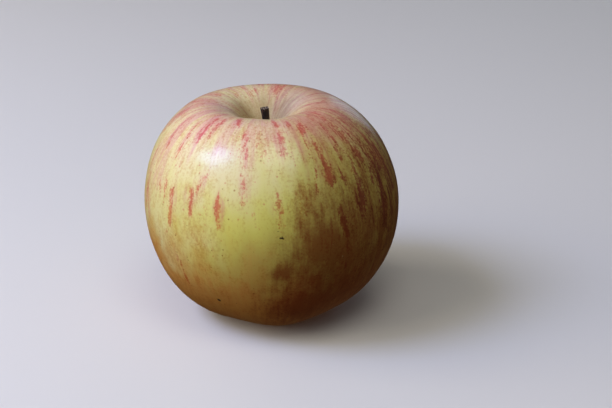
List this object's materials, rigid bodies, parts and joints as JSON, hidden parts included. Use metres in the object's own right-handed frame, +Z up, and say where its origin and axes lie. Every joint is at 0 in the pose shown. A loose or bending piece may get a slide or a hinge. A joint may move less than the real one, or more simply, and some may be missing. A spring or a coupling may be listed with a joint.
{
  "type": "apple",
  "caption": "Ripe striped dessert apple with a deep stem cavity, short woody stem, lobed foot and dried calyx in the basin, standing upright on its own base.",
  "frame": {"origin": "centre of the bounding box's bottom face, on the surface that the apple stands on", "axes": "+Z up along the core towards the stem, -Y towards the viewer's side of the picture, +X to the right there"},
  "size_m": [0.08, 0.08, 0.0685],
  "materials": {
    "skin": "waxy semi-gloss skin, yellow-green with coral to crimson stripes and flecks",
    "stem_wood": "dry, dark and rough",
    "dried_calyx": "dry, papery and matt"
  },
  "bodies": {
    "root": {"fruit": "skin", "stem": "stem_wood", "calyx": "dried_calyx"}
  },
  "joints": []
}
